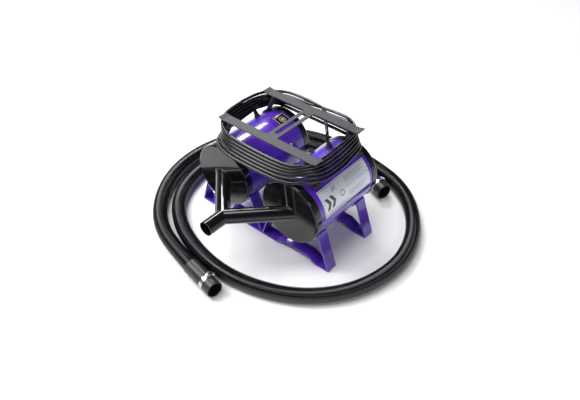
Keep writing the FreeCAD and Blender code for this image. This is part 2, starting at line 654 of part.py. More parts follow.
def cord_rack():
    z = RACK_UNDERSIDE + RACK_THICKNESS / 2
    inner = RACK_HALF_LENGTH - RACK_TIP_LENGTH
    path = [(-RACK_HALF_LENGTH, z + RACK_TIP_RISE), (-inner, z), (inner, z), (RACK_HALF_LENGTH, z + RACK_TIP_RISE)]
    bars = [strap(path, RACK_THICKNESS, RACK_TIP_LENGTH, FRONT_Y + depth, BAR_WIDTH)
            for depth in (FRONT_BAR_DEPTH, REAR_BAR_DEPTH)]
    start = FRONT_Y + FRONT_BAR_DEPTH + BAR_WIDTH
    end = FRONT_Y + REAR_BAR_DEPTH
    cross = block((-CROSS_WIDTH / 2, start, RACK_UNDERSIDE), (CROSS_WIDTH / 2, end, RACK_TOP_Z))
    half = CROSS_SLOT_WIDTH / 2
    slot_start, slot_end = start + CROSS_SLOT_MARGIN, end - CROSS_SLOT_MARGIN
    slot = block((-half, slot_start + half, RACK_UNDERSIDE), (half, slot_end - half, RACK_TOP_Z))
    ends = [Part.makeCylinder(half, RACK_THICKNESS, V(0, y, RACK_UNDERSIDE), V(0, 0, 1))
            for y in (slot_start + half, slot_end - half)]
    return solid_of(bars[0].fuse([bars[1], cross]).cut(slot.fuse(ends)))


def post_path(side):
    """From under the rack down to the case, and along it as a foot tab."""
    tab = around(side, TUBE_R + POST_THICKNESS / 2 + HOLE_CLEARANCE, post_angle(side), 0)
    along = V(side * math.sin(math.radians(POST_ANGLE)), 0, -math.cos(math.radians(POST_ANGLE))) * (POST_TAB / 2)
    return [(side * POST_TOP_X, RACK_UNDERSIDE + POST_THICKNESS), (tab.x - along.x, tab.z - along.z),
            (tab.x + along.x, tab.z + along.z)]


def post(side, bar_depth):
    start = FRONT_Y + bar_depth - POST_OVERHANG
    body = strap(post_path(side), POST_THICKNESS, POST_BEND_R, start, POST_WIDTH)
    above = block((-2 * CASE_X, start, RACK_UNDERSIDE), (2 * CASE_X, start + POST_WIDTH, RACK_TOP_Z + POST_TAB))
    holes = [radial_hole(side, post_angle(side), y, POST_SCREW_R) for y in post_screw_rows(bar_depth)]
    return solid_of(body.cut(above).cut(Part.makeCompound(holes)))


def post_screws():
    solids = []
    for _, side in SIDES:
        for y in [y for _, _, bar_depth in ENDS for y in post_screw_rows(bar_depth)]:
            solids.append(radial_screw(side, post_angle(side), y, TUBE_R + POST_THICKNESS + HOLE_CLEARANCE,
                                       POST_SCREW_R, POST_SCREW_HEAD_R, POST_SCREW_HEAD_HEIGHT, SCREW_LENGTH))
    return Part.makeCompound(solids)


def case_screws():
    solids = []
    for name, side in SIDES:
        for s, angle, y, seat in case_screw_places(name, side):
            solids.append(radial_screw(s, angle, y, seat, SCREW_R, SCREW_HEAD_R, SCREW_HEAD_HEIGHT, SCREW_LENGTH))
    return Part.makeCompound(solids)


def curved_plate(side, angles, start, end):
    """A thin plate that lies on the tube between two angles, with rounded corners."""
    shell = ring_y(side * CASE_X, CASE_AXIS_Z, TUBE_R + LABEL_THICKNESS, TUBE_R, start, end)
    reach = 2 * TUBE_R
    x, z = side * CASE_X, CASE_AXIS_Z
    low, middle, high = [outward(a) * reach for a in (angles[0], sum(angles) / 2, angles[1])]
    wedge = plate_xz([(x, z), (x + low.x, z + low.z), (x + middle.x, z + middle.z), (x + high.x, z + high.z)], start, end)
    return solid_of(shell.common(wedge))


def label_plate():
    return curved_plate(1, LABEL_ANGLES, FRONT_Y + LABEL_DEPTHS[0], FRONT_Y + LABEL_DEPTHS[1])


def badge_plate():
    half = math.degrees(BADGE_SIDE / 2 / TUBE_R)
    start = FRONT_Y + BADGE_DEPTH - BADGE_SIDE / 2
    return curved_plate(-1, (BADGE_ANGLE - half, BADGE_ANGLE + half), start, start + BADGE_SIDE)


def cord_gland(name, side):
    """A moulded strain relief that stands straight out of the case."""
    angle, depth = GLANDS[name]
    y, out = FRONT_Y + depth, outward(angle)
    flange = Part.makeCylinder(GLAND_FLANGE_R, GLAND_FLANGE, around(side, TUBE_R, angle, y), out)
    boot = Part.makeCone(GLAND_ROOT_R, GLAND_TIP_R, GLAND_LENGTH, around(side, TUBE_R + GLAND_FLANGE, angle, y), out)
    return solid_of(flange.fuse(boot))


def tube_along(points, radius, name):
    """A tube along straight runs joined by tangent arcs, each as large as its two runs allow."""
    points = [V(*p) for p in points]
    runs = [(b - a).Length for a, b in zip(points, points[1:])]
    edges, radii = [], []
    start = points[0]
    for i in range(1, len(points) - 1):
        before = (points[i] - points[i - 1]).normalize()
        after = (points[i + 1] - points[i]).normalize()
        turn = before.getAngle(after)
        reach = 0.45 * min(runs[i - 1], runs[i])
        radii.append(reach / math.tan(turn / 2))
        first, last = points[i] - before * reach, points[i] + after * reach
        centre = points[i] + (after - before).normalize() * (radii[-1] / math.cos(turn / 2))
        middle = centre + (points[i] - centre).normalize() * radii[-1]
        edges.append(Part.LineSegment(start, first).toShape())
        edges.append(Part.Arc(first, middle, last).toShape())
        start = last
    edges.append(Part.LineSegment(start, points[-1]).toShape())
    wire = Part.Wire(edges)
    ahead = (points[1] - points[0]).normalize()
    profile = Part.Wire(Part.makeCircle(radius, points[0], ahead))
    body = wire.makePipeShell([profile], True, True)
    expected = math.pi * radius ** 2 * wire.Length
    print(f"{name}: length {wire.Length:.0f}, radii {[round(r) for r in radii]}, "
          f"runs {[round(r) for r in runs]}, volume ratio {body.Volume / expected:.4f}")
    return body


def coil_edges(name):
    """The inner and outer outlines of a coil as (-X, +X, front, rear), and its lowest and highest Z."""
    low, high = [RACK_UNDERSIDE - under for under in reversed(COILS[name]["under"])]
    above = block((0, FRONT_Y, low), (2 * CASE_X, REAR_Y, low + 1))
    reach = post(1, FRONT_BAR_DEPTH).common(above).BoundBox.XMax
    front = FRONT_Y + FRONT_BAR_DEPTH - POST_OVERHANG
    rear = FRONT_Y + REAR_BAR_DEPTH - POST_OVERHANG + POST_WIDTH
    ways = (-1, 1, -1, 1)
    inner = [at + way * gap for at, way, gap in zip((-reach, reach, front, rear), ways, COILS[name]["gaps"])]
    outer = [at + way * width for at, way, width in zip(inner, ways, COILS[name]["widths"])]
    return inner, outer, low, high


def rounded_slab(edges, corners, low, high):
    """A slab with its own radius at each corner, in the order that coil_corners gives them."""
    slab = block((edges[0], edges[2], low), (edges[1], edges[3], high))
    places = [(x, y) for x in edges[:2] for y in edges[2:]]
    for (x, y), radius in zip(places, corners):
        upright = Part.makeLine(V(x, y, low), V(x, y, high)).BoundBox
        upright.enlarge(0.01)
        slab = slab.makeFillet(radius, [e for e in slab.Edges if upright.isInside(e.BoundBox)])
    return slab


def coil_corners(name):
    """The inner corner radii, as large as the posts allow, and the rounder outer ones."""
    gaps = COILS[name]["gaps"]
    widths = COILS[name]["widths"]
    pairs = [(x, y) for x in (0, 1) for y in (2, 3)]
    inner = [gaps[x] + gaps[y] + math.sqrt(2 * gaps[x] * gaps[y]) for x, y in pairs]
    return inner, [radius + widths[x] + widths[y] for radius, (x, y) in zip(inner, pairs)]


def cord_coil(name):
    """The outer shape of a coil of cord round the four posts."""
    inner, outer, low, high = coil_edges(name)
    inner_corners, outer_corners = coil_corners(name)
    return rounded_slab(outer, outer_corners, low, high).cut(rounded_slab(inner, inner_corners, low, high))


def tail_points(name, side):
    tail = TAILS[name]
    _, outer, _, high = coil_edges(name)
    start = outer[3] - tail["inset"]
    end = REAR_Y + PLUG_THICKNESS / 2 + tail["behind"]
    return [(side * CASE_X + tail["across"], start + share * (end - start), high - under)
            for share, under in tail["steps"]]


def power_cord(name, side):
    """The two stretches of a cord that aren't coiled, each ending on the face of the coil."""
    angle, depth = GLANDS[name]
    tip = around(side, TUBE_R + GLAND_FLANGE + GLAND_LENGTH, angle, FRONT_Y + depth)
    lead = [tip, tip + outward(angle) * LEAD_STRAIGHT[name]] + [tip + V(*step) for step in LEAD_STEPS[name]]
    coil = cord_coil(name)
    return Part.makeCompound([solid_of(tube_along(points, CORD_R, f"{what} {name}").cut(coil))
                              for what, points in (("lead", lead), ("tail", tail_points(name, side)))])


def plug(name, side):
    """A moulded three-pin plug, hanging pins down from its cord."""
    top = V(*tail_points(name, side)[-1])
    boot = Part.makeCone(CORD_R * 2, CORD_R * 1.4, PLUG_BOOT, top - V(0, 0, PLUG_BOOT), V(0, 0, 1))
    body = Part.makeCylinder(PLUG_RADIUS, PLUG_BODY, top - V(0, 0, PLUG_BOOT + PLUG_BODY), V(0, 0, 1))
    half = PLUG_THICKNESS / 2
    low = top.z - PLUG_BOOT - PLUG_BODY
    trim = block((top.x - PLUG_RADIUS, top.y - half, low), (top.x + PLUG_RADIUS, top.y + half, low + PLUG_BODY))
    body = body.common(trim)
    pins = [block((top.x + s * BLADE_SPACING / 2 - 0.75, top.y - 3.2, low - BLADE_LENGTH),
                  (top.x + s * BLADE_SPACING / 2 + 0.75, top.y + 3.2, low)) for s in (-1, 1)]
    ground = Part.makeCylinder(2.4, BLADE_LENGTH + 3.0, V(top.x, top.y - 8.5, low - BLADE_LENGTH - 3.0), V(0, 0, 1))
    return solid_of(boot.fuse([body, ground] + pins))


def cuff_axis(mouth, heading):
    ahead = V(heading[0], heading[1], 0).normalize()
    return V(mouth[0], mouth[1], CUFF_AXIS_Z), ahead


def hose_cuff(mouth, heading):
    """A rubber cuff: its mouth fits over the outlet pipe, and the hose ends inside it."""
    end, ahead = cuff_axis(mouth, heading)
    back = ahead * -1
    body = Part.makeCylinder(CUFF_R, CUFF_LENGTH, end, back)
    body = body.makeFillet(1.0, [e for e in body.Edges if e.Closed and e.BoundBox.ZLength > CUFF_R])
    mouth_bore = Part.makeCylinder(DUCT_R + CUFF_CLEARANCE, CUFF_GRIP, end, back)
    hose_bore = Part.makeCylinder(HOSE_R + HOLE_CLEARANCE, CUFF_LENGTH - CUFF_GRIP, end + back * CUFF_GRIP, back)
    return solid_of(body.cut(mouth_bore).cut(hose_bore))


def hose_clamp(mouth, heading):
    """A worm-drive band, its screw housing, and the screw as a solid of its own."""
    end, ahead = cuff_axis(mouth, heading)
    start = end - ahead * (CLAMP_FROM_MOUTH + CLAMP_WIDTH / 2)
    outer = CUFF_R + CLAMP_WALL
    band = Part.makeCylinder(outer, CLAMP_WIDTH, start, ahead)
    band = band.cut(Part.makeCylinder(CUFF_R, CLAMP_WIDTH, start, ahead))
    across = V(-ahead.y, ahead.x, 0)
    middle = start + ahead * (CLAMP_WIDTH / 2)
    housing = Part.makeBox(16.0, CLAMP_WIDTH, 8.0)
    screw = Part.makeCylinder(3.0, 26.0, V(-6.0, CLAMP_WIDTH / 2, 4.4), V(1, 0, 0))
    head = Part.makeCylinder(4.2, 5.0, V(-6.0, CLAMP_WIDTH / 2, 4.4), V(1, 0, 0), 360)
    slot = Part.makeBox(1.6, 1.2, 9.0, V(-6.0, CLAMP_WIDTH / 2 - 0.6, 0.0))
    bolt = head.cut(slot).fuse(screw)
    housing = housing.cut(Part.makeCylinder(3.0, 60.0, V(-20.0, CLAMP_WIDTH / 2, 4.4), V(1, 0, 0)))
    base = outer - 0.6
    turn = FreeCAD.Rotation(across, ahead * -1, V(0, 0, 1), "ZXY")
    corner = middle - across * 8.0 + V(0, 0, base) + ahead * (CLAMP_WIDTH / 2)
    for shape in (housing, bolt):
        shape.Placement = FreeCAD.Placement(corner, turn)
        shape.rotate(middle, ahead, -28.0)
    keep_out = Part.makeCylinder(outer, CLAMP_WIDTH, start, ahead)
    return [solid_of(band.fuse(housing.cut(keep_out))), solid_of(bolt)]


def hose_clamps():
    ends = ((OUTER_CUFF_MOUTH, OUTER_CUFF_HEADING), (INNER_CUFF_MOUTH, INNER_CUFF_HEADING))
    return Part.makeCompound([s for mouth, heading in ends for s in hose_clamp(mouth, heading)])


def hose_points():
    """The route with its heights: on the floor, and a little higher next to each cuff."""
    ends = []
    for mouth, heading in ((OUTER_CUFF_MOUTH, OUTER_CUFF_HEADING), (INNER_CUFF_MOUTH, INNER_CUFF_HEADING)):
        end, ahead = cuff_axis(mouth, heading)
        ends.append(tuple(end - ahead * CUFF_GRIP))
    last = len(HOSE_ROUTE) - 1
    middle = [(x, y, CUFF_AXIS_Z if i in (0, last) else HOSE_AXIS_Z) for i, (x, y) in enumerate(HOSE_ROUTE)]
    return ends[:1] + middle + ends[1:]


def main():
    nodes = {}
    for name, side in SIDES:
        nodes[f"body_tube_{name}"] = body_tube(name, side)
        nodes[f"front_cap_{name}"] = front_cap(name, side)
        nodes[f"rear_cap_{name}"] = rear_cap(name, side)
        nodes[f"duct_{name}"] = duct(side)
        nodes[f"air_filter_{name}"] = air_filter(side)
        nodes[f"switch_body_{name}"] = switch_body(side)
        nodes[f"switch_rocker_{name}"] = switch_rocker(side)
        nodes[f"motor_bulkhead_{name}"] = motor_bulkhead(name, side)
        nodes[f"fan_shell_{name}"] = fan_shell(side)
        nodes[f"impellers_{name}"] = impellers(side)
        nodes[f"motor_frame_{name}"] = motor_frame(side)
        nodes[f"stator_{name}"] = stator(side)
        nodes[f"armature_{name}"] = armature(side)
        nodes[f"bearings_{name}"] = bearings(side)
        nodes[f"cord_gland_{name}"] = cord_gland(name, side)
        nodes[f"power_cord_{name}"] = power_cord(name, side)
        nodes[f"cord_coil_{name}"] = cord_coil(name)
        nodes[f"plug_{name}"] = plug(name, side)
        for end, stand_depth, bar_depth in ENDS:
            nodes[f"cradle_strap_{end}_{name}"] = cradle_strap(name, side, stand_depth)
            nodes[f"rack_post_{end}_{name}"] = post(side, bar_depth)
    for end, stand_depth, _ in ENDS:
        nodes[f"base_strap_{end}"] = base_strap(stand_depth)
    nodes["outlet_pipe"] = outlet_pipe()
    nodes["motor_gaskets"] = motor_gaskets()
    nodes["carbon_brushes"] = carbon_brushes()
    nodes["cord_rack"] = cord_rack()
    nodes["post_screws"] = post_screws()
    nodes["case_screws"] = case_screws()
    nodes["label_plate"] = label_plate()
    nodes["badge_plate"] = badge_plate()
    nodes["hose"] = tube_along(hose_points(), HOSE_R, "hose")
    nodes["hose_cuff_outer"] = hose_cuff(OUTER_CUFF_MOUTH, OUTER_CUFF_HEADING)
    nodes["hose_cuff_inner"] = hose_cuff(INNER_CUFF_MOUTH, INNER_CUFF_HEADING)
    nodes["hose_clamps"] = hose_clamps()

    os.makedirs("parts", exist_ok=True)
    for name, shape in nodes.items():
        if not shape.isValid():
            print(f"{name} isn't a valid shape")
        shape.exportStep(f"parts/{name}.step")
    print(f"{len(nodes)} nodes, front face at Y {FRONT_Y:.2f}, rear face at Y {REAR_Y:.2f}")


main()
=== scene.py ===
import json
import math

import bmesh
import bpy
from mathutils import Matrix, Vector


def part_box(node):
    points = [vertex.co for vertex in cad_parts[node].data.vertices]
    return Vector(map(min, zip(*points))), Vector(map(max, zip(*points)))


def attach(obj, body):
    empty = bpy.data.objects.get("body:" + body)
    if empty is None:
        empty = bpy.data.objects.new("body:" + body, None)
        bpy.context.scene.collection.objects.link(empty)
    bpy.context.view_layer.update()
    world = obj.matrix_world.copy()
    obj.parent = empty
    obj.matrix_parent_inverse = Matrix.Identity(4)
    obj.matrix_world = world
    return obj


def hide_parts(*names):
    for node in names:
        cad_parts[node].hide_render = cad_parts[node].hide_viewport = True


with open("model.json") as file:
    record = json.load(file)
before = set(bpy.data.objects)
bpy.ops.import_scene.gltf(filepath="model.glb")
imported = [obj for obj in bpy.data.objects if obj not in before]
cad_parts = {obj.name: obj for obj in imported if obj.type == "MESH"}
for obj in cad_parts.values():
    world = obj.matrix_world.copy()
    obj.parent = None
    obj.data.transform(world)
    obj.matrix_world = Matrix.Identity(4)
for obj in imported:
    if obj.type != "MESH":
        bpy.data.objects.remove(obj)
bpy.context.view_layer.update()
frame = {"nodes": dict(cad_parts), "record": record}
NODES = frame["nodes"]

# Sizes read from the CAD frame, in metres: the cases' radius, their axes and their front face.
TUBE_LOW, TUBE_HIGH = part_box("body_tube_right")
CAP_LOW, CAP_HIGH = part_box("front_cap_right")
TUBE_R = (TUBE_HIGH.z - TUBE_LOW.z) / 2
CASE_X = CAP_LOW.x + (CAP_HIGH.x - CAP_LOW.x) / 2
AXIS_Z = TUBE_LOW.z + TUBE_R
FRONT_Y = CAP_LOW.y


# ---------------------------------------------------------------- materials

def new_material(name):
    """A material with its node tree and its main shader."""
    material = bpy.data.materials.new(name)
    material.use_nodes = True
    tree = material.node_tree
    return material, tree, tree.nodes["Principled BSDF"]


COAT_ROUGHNESS = 0.05


def noise(tree, scale, detail, stretch=(1, 1, 1)):
    """Object-space noise, drawn out along an axis where stretch is small."""
    coords = tree.nodes.new("ShaderNodeTexCoord")
    mapping = tree.nodes.new("ShaderNodeMapping")
    mapping.inputs["Scale"].default_value = stretch
    texture = tree.nodes.new("ShaderNodeTexNoise")
    texture.inputs["Scale"].default_value = scale
    texture.inputs["Detail"].default_value = detail
    tree.links.new(coords.outputs["Object"], mapping.inputs["Vector"])
    tree.links.new(mapping.outputs["Vector"], texture.inputs["Vector"])
    return texture.outputs["Fac"]


def spread(tree, value, low, high, start=0.3, end=0.7):
    """Stretches the values from start to end over the range from low to high."""
    node = tree.nodes.new("ShaderNodeMapRange")
    node.inputs["From Min"].default_value = start
    node.inputs["From Max"].default_value = end
    node.inputs["To Min"].default_value = low
    node.inputs["To Max"].default_value = high
    tree.links.new(value, node.inputs["Value"])
    return node.outputs["Result"]


def blend_colours(tree, value, first, second, start=0.35, end=0.65):
    """The first colour up to the value start, the second from the value end, and a blend between them."""
    ramp = tree.nodes.new("ShaderNodeValToRGB")
    ramp.color_ramp.elements[0].position = start
    ramp.color_ramp.elements[0].color = (*first, 1)
    ramp.color_ramp.elements[1].position = end
    ramp.color_ramp.elements[1].color = (*second, 1)
    tree.links.new(value, ramp.inputs["Fac"])
    return ramp.outputs["Color"]


def add_bump(tree, shader, value, strength, distance, edge):
    """A bumpy surface, and edges that look rounded to the radius edge where that isn't 0."""
    bump = tree.nodes.new("ShaderNodeBump")
    if edge:
        bevel = tree.nodes.new("ShaderNodeBevel")
        bevel.inputs["Radius"].default_value = edge
        tree.links.new(bevel.outputs["Normal"], bump.inputs["Normal"])
    bump.inputs["Strength"].default_value = strength
    bump.inputs["Distance"].default_value = distance
    tree.links.new(value, bump.inputs["Height"])
    tree.links.new(bump.outputs["Normal"], shader.inputs["Normal"])


def finish_of(name, colours, rough, metallic=0.0, coat=0.0, scale=30, grain=600, bump=0.15, depth=0.0001,
              stretch=(1, 1, 1), specular=0.5, edge=0.0):
    """A surface whose colour and roughness drift slowly, with a fine grain on top.

    Scale is the noise scale of the drift and grain that of the bumps, which are depth metres high.
    """
    material, tree, shader = new_material(name)
    slow = noise(tree, scale, 5.0, stretch)
    fine = noise(tree, grain, 2.0, stretch)
    tree.links.new(blend_colours(tree, slow, *colours), shader.inputs["Base Color"])
    tree.links.new(spread(tree, slow, *rough), shader.inputs["Roughness"])
    shader.inputs["Metallic"].default_value = metallic
    shader.inputs["Coat Weight"].default_value = coat
    shader.inputs["Coat Roughness"].default_value = COAT_ROUGHNESS
    shader.inputs["Specular IOR Level"].default_value = specular
    add_bump(tree, shader, fine, bump, depth, edge)
    return material


# Each finish has two colours that it drifts between, its range of roughness, and what differs from the
# usual finish.
FINISHES = {
    "purple_paint": dict(colours=((0.080, 0.020, 0.40), (0.108, 0.032, 0.50)), rough=(0.24, 0.34),
                         coat=0.8, scale=18, grain=260, bump=0.10, depth=0.0002),
    "black_paint": dict(colours=((0.004, 0.004, 0.005), (0.007, 0.007, 0.009)), rough=(0.14, 0.24),
                        coat=0.9, scale=14, grain=240, bump=0.08, depth=0.0002, specular=0.1,
                        edge=0.0009),
    "rack_coat": dict(colours=((0.058, 0.058, 0.065), (0.078, 0.078, 0.086)), rough=(0.40, 0.52),
                      scale=40, grain=900, bump=0.35, depth=0.00015, specular=0.2, edge=0.0007),
    "filter_foam": dict(colours=((0.015, 0.015, 0.017), (0.05, 0.05, 0.055)), rough=(0.85, 0.95),
                        scale=700, grain=900, bump=1.0, depth=0.0012),
    "switch_plastic": dict(colours=((0.008, 0.008, 0.009), (0.014, 0.014, 0.015)), rough=(0.25, 0.38)),
    "rocker_plastic": dict(colours=((0.010, 0.010, 0.011), (0.018, 0.018, 0.019)), rough=(0.20, 0.30)),
    "bare_steel": dict(colours=((0.50, 0.50, 0.51), (0.62, 0.62, 0.63)), rough=(0.28, 0.42),
                       metallic=1.0),
    "fan_metal": dict(colours=((0.55, 0.56, 0.58), (0.68, 0.69, 0.72)), rough=(0.25, 0.40), metallic=1.0),
    "impeller_metal": dict(colours=((0.70, 0.71, 0.73), (0.82, 0.83, 0.85)), rough=(0.22, 0.34),
                           metallic=1.0),
    "motor_casting": dict(colours=((0.42, 0.42, 0.44), (0.55, 0.55, 0.57)), rough=(0.45, 0.6),
                          metallic=1.0, scale=60, grain=500, bump=0.6, depth=0.0004),
    "core_steel": dict(colours=((0.22, 0.18, 0.15), (0.34, 0.30, 0.28)), rough=(0.35, 0.5), metallic=1.0,
                       grain=900, bump=0.4, depth=0.0003, stretch=(1, 12, 1)),
    "bearing_steel": dict(colours=((0.75, 0.75, 0.77), (0.85, 0.85, 0.87)), rough=(0.10, 0.18),
                          metallic=1.0),
    "gland_rubber": dict(colours=((0.012, 0.012, 0.013), (0.020, 0.020, 0.022)), rough=(0.45, 0.6)),
    "cord_sheath": dict(colours=((0.003, 0.003, 0.004), (0.006, 0.006, 0.008)), rough=(0.18, 0.28),
                        scale=60, grain=700, bump=0.05, depth=0.00005, specular=0.55),
    "plug_moulding": dict(colours=((0.010, 0.010, 0.011), (0.017, 0.017, 0.018)), rough=(0.35, 0.5)),
    "gasket_rubber": dict(colours=((0.02, 0.02, 0.02), (0.035, 0.035, 0.035)), rough=(0.6, 0.8)),
    "carbon": dict(colours=((0.03, 0.03, 0.03), (0.05, 0.05, 0.05)), rough=(0.5, 0.7)),
    "screw_steel": dict(colours=((0.62, 0.61, 0.58), (0.80, 0.79, 0.76)), rough=(0.18, 0.30),
                        metallic=1.0, scale=200, grain=900, bump=0.2),
    "screw_black": dict(colours=((0.010, 0.010, 0.011), (0.022, 0.022, 0.024)), rough=(0.22, 0.34),
                        coat=0.4, scale=200, grain=900, bump=0.2, edge=0.0004),
    "label_foil": dict(colours=((0.66, 0.69, 0.76), (0.74, 0.77, 0.84)), rough=(0.28, 0.38),
                       metallic=0.25, coat=0.3, scale=25, grain=700, bump=0.1, depth=0.00005,
                       stretch=(1, 0.2, 1)),
    "badge_enamel": dict(colours=((0.007, 0.007, 0.008), (0.012, 0.012, 0.013)), rough=(0.15, 0.25),
                         coat=0.5),
    "hose_plastic": dict(colours=((0.002, 0.002, 0.003), (0.005, 0.005, 0.007)), rough=(0.14, 0.24),
                         scale=35, grain=900, specular=0.55),
    "cuff_rubber": dict(colours=((0.013, 0.013, 0.014), (0.022, 0.022, 0.024)), rough=(0.30, 0.46),
                        scale=40, grain=500, bump=0.3, depth=0.00015),
    "clamp_steel": dict(colours=((0.66, 0.66, 0.67), (0.80, 0.80, 0.82)), rough=(0.16, 0.28),
                        metallic=1.0, scale=120, grain=900, bump=0.2, depth=0.00005),
    "print_dark": dict(colours=((0.055, 0.060, 0.085), (0.085, 0.090, 0.120)), rough=(0.30, 0.42),
                       coat=0.3),
    "print_grey": dict(colours=((0.24, 0.26, 0.31), (0.32, 0.34, 0.40)), rough=(0.35, 0.45), coat=0.2),
    "print_white": dict(colours=((0.78, 0.78, 0.80), (0.86, 0.86, 0.88)), rough=(0.30, 0.42), coat=0.2),
    "print_tan": dict(colours=((0.42, 0.33, 0.22), (0.60, 0.50, 0.36)), rough=(0.35, 0.45), coat=0.2),
}

MATERIALS = {name: finish_of(name, **look) for name, look in FINISHES.items()}

for part in frame["record"]["subparts"]:
    data = NODES[part["node"]].data
    data.materials.clear()
    data.materials.append(MATERIALS[part["material_slot"]])
NODES["post_screws"].data.materials[0] = MATERIALS["screw_black"]


# ---------------------------------------------------------------- building helpers

LATHE_SIDES = 40
BEAD_SIDES = 10


def add_object(name, data, material):
    """A new piece on the dryer's body, with one of the materials and a material slot of the record."""
    piece = bpy.data.objects.new(name, data)
    bpy.context.scene.collection.objects.link(piece)
    data.materials.append(MATERIALS[material])
    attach(piece, "dryer")
    return piece


def mesh_from(name, build, smooth=True):
    """A mesh made by build(bm)."""
    bm = bmesh.new()
    build(bm)
    bmesh.ops.recalc_face_normals(bm, faces=bm.faces)
    data = bpy.data.meshes.new(name)
    bm.to_mesh(data)
    bm.free()
    if smooth:
        data.shade_smooth()
    return data


def add_rings(bm, rings, close=False):
    """Faces between rows of points, each row closed on itself. Close caps the two ends."""
    rows = [[bm.verts.new(p) for p in ring] for ring in rings]
    for before, after in zip(rows, rows[1:]):
        count = len(before)
        for i in range(count):
            bm.faces.new((before[i], before[(i + 1) % count], after[(i + 1) % count], after[i]))
    if close:
        bm.faces.new(rows[0])
        bm.faces.new(rows[-1])


def lathe(bm, profile, origin, axis):
    """Revolves (radius, distance along the axis) pairs about an axis."""
    axis = Vector(axis).normalized()
    side = axis.orthogonal().normalized()
    other = axis.cross(side)
    turns = [2 * math.pi * i / LATHE_SIDES for i in range(LATHE_SIDES)]
    rings = []
    for radius, along in profile:
        centre = Vector(origin) + axis * along
        rings.append([centre + side * (radius * math.cos(t)) + other * (radius * math.sin(t))
                      for t in turns])
    add_rings(bm, rings, close=True)


def add_bead(bm, path, radius, ripple):
    """A closed weld bead along a loop of points. Its radius swells and shrinks by the share ripple."""
    centre = sum(path, Vector()) / len(path)
    turns = [2 * math.pi * i / BEAD_SIDES for i in range(BEAD_SIDES)]
    rings = []
    for i, place in enumerate(path):
        ahead = (path[(i + 1) % len(path)] - path[i - 1]).normalized()
        out = (place - centre).normalized()
        up = ahead.cross(out).normalized()
        size = radius * (1 + ripple * math.sin(math.pi * i / 2))
        rings.append([place + (out * math.cos(t) + up * math.sin(t)) * size for t in turns])
    add_rings(bm, rings + rings[:1])
    bmesh.ops.remove_doubles(bm, verts=bm.verts, dist=1e-7)


def add_block(bm, centre, size, turn):
    """A box, turned about its centre."""
    place = Matrix.Translation(centre) @ turn.to_4x4() @ Matrix.Diagonal((*size, 1))
    bmesh.ops.create_cube(bm, size=1.0, matrix=place)


def nurbs_curve(name, points, radius):
    """A cord along one smooth spline, with the route's points as its control points."""
    data = bpy.data.curves.new(name, "CURVE")
    data.dimensions = "3D"
    data.resolution_u = 10
    spline = data.splines.new("NURBS")
    spline.points.add(len(points) - 1)
    for point, place in zip(spline.points, points):
        point.co = (*place, 1)
    spline.order_u = 3
    spline.use_endpoint_u = True
    data.bevel_depth = radius
    data.bevel_resolution = 8
    data.use_fill_caps = True
    return data


def spline_line(name, points):
    """The points that a NURBS spline runs through."""
    data = nurbs_curve(name, points, 0.0)
    data.resolution_u = 24
    guide = bpy.data.objects.new(name, data)
    bpy.context.scene.collection.objects.link(guide)
    bpy.context.view_layer.update()
    mesh = bpy.data.meshes.new_from_object(guide)
    line = [v.co.copy() for v in mesh.vertices]
    bpy.data.objects.remove(guide)
    bpy.data.meshes.remove(mesh)
    return line


def even_steps(line, step):
    """(place, direction, distance) at even distances along a line of points."""
    lengths = [0.0]
    for a, b in zip(line, line[1:]):
        lengths.append(lengths[-1] + (b - a).length)
    count = max(2, int(round(lengths[-1] / step)))
    places, j = [], 0
    for i in range(count + 1):
        at = lengths[-1] * i / count
        while j < len(line) - 2 and lengths[j + 1] < at:
            j += 1
        share = (at - lengths[j]) / max(1e-9, lengths[j + 1] - lengths[j])
        places.append((line[j].lerp(line[j + 1], share), at))
    out = []
    for i, (place, at) in enumerate(places):
        before = places[max(0, i - 1)][0]
        after = places[min(count, i + 1)][0]
        out.append((place, (after - before).normalized(), at))
    return out


def mm(x, y, z):
    """A point given in millimetres, in metres."""
    return Vector((x, y, z)) / 1000


# ---------------------------------------------------------------- hose

HOSE_R = 0.023
RIB_PITCH = 0.0073
RIB_DEPTH = 0.0032
RIB_POWER = 0.9
RIB_SAMPLES = 8
HOSE_SIDES = 32

# The hose's route in millimetres, inwards from the outer cuff to the inner one, and its height at the
# cuffs and on the floor.
CUFF_Z = 26.2
HOSE_Z = 23.2
HOSE_ROUTE = [
    (14.88, -290.82), (-100, -271), (-245, -227), (-350, -134), (-418, -14), (-438, 121), (-405, 261),
    (-325, 381), (-205, 459), (-60, 481), (75, 463), (205, 431), (310, 351), (385, 236), (412, 101),
    (375, -44), (290, -149), (175, -214), (45, -241), (-84, -225), (-202, -181), (-300, -103), (-352, 11),
    (-362, 141), (-330, 258), (-265, 350), (-178, 410), (-75, 430), (37, 421.6), (141.25, 380.18),
]


def ribbed_hose(line):
    """A spiral-ribbed tube: rounded ribs with narrow grooves between them."""
    def build(bm):
        rings = []
        for place, ahead, at in even_steps(line, RIB_PITCH / RIB_SAMPLES):
            side = Vector((ahead.y, -ahead.x, 0)).normalized()
            up = side.cross(ahead)
            ring = []
            for i in range(HOSE_SIDES):
                turn = 2 * math.pi * i / HOSE_SIDES
                phase = (at / RIB_PITCH + i / HOSE_SIDES) % 1.0
                rib = abs(math.sin(math.pi * phase)) ** RIB_POWER
                radius = HOSE_R - RIB_DEPTH * (1 - rib)
                ring.append(place + side * (radius * math.cos(turn)) + up * (radius * math.sin(turn)))
            rings.append(ring)
        add_rings(bm, rings, close=True)
    return mesh_from("hose_ribbed", build)


last = len(HOSE_ROUTE) - 1
hose_points = [mm(x, y, CUFF_Z if i in (0, 1, last - 1, last) else HOSE_Z)
               for i, (x, y) in enumerate(HOSE_ROUTE)]
hose_line = spline_line("hose_guide", hose_points)
hose = add_object("hose_ribbed", ribbed_hose(hose_line), "hose_plastic")
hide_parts("hose")


# ---------------------------------------------------------------- power cords

CORD_R = 0.0048

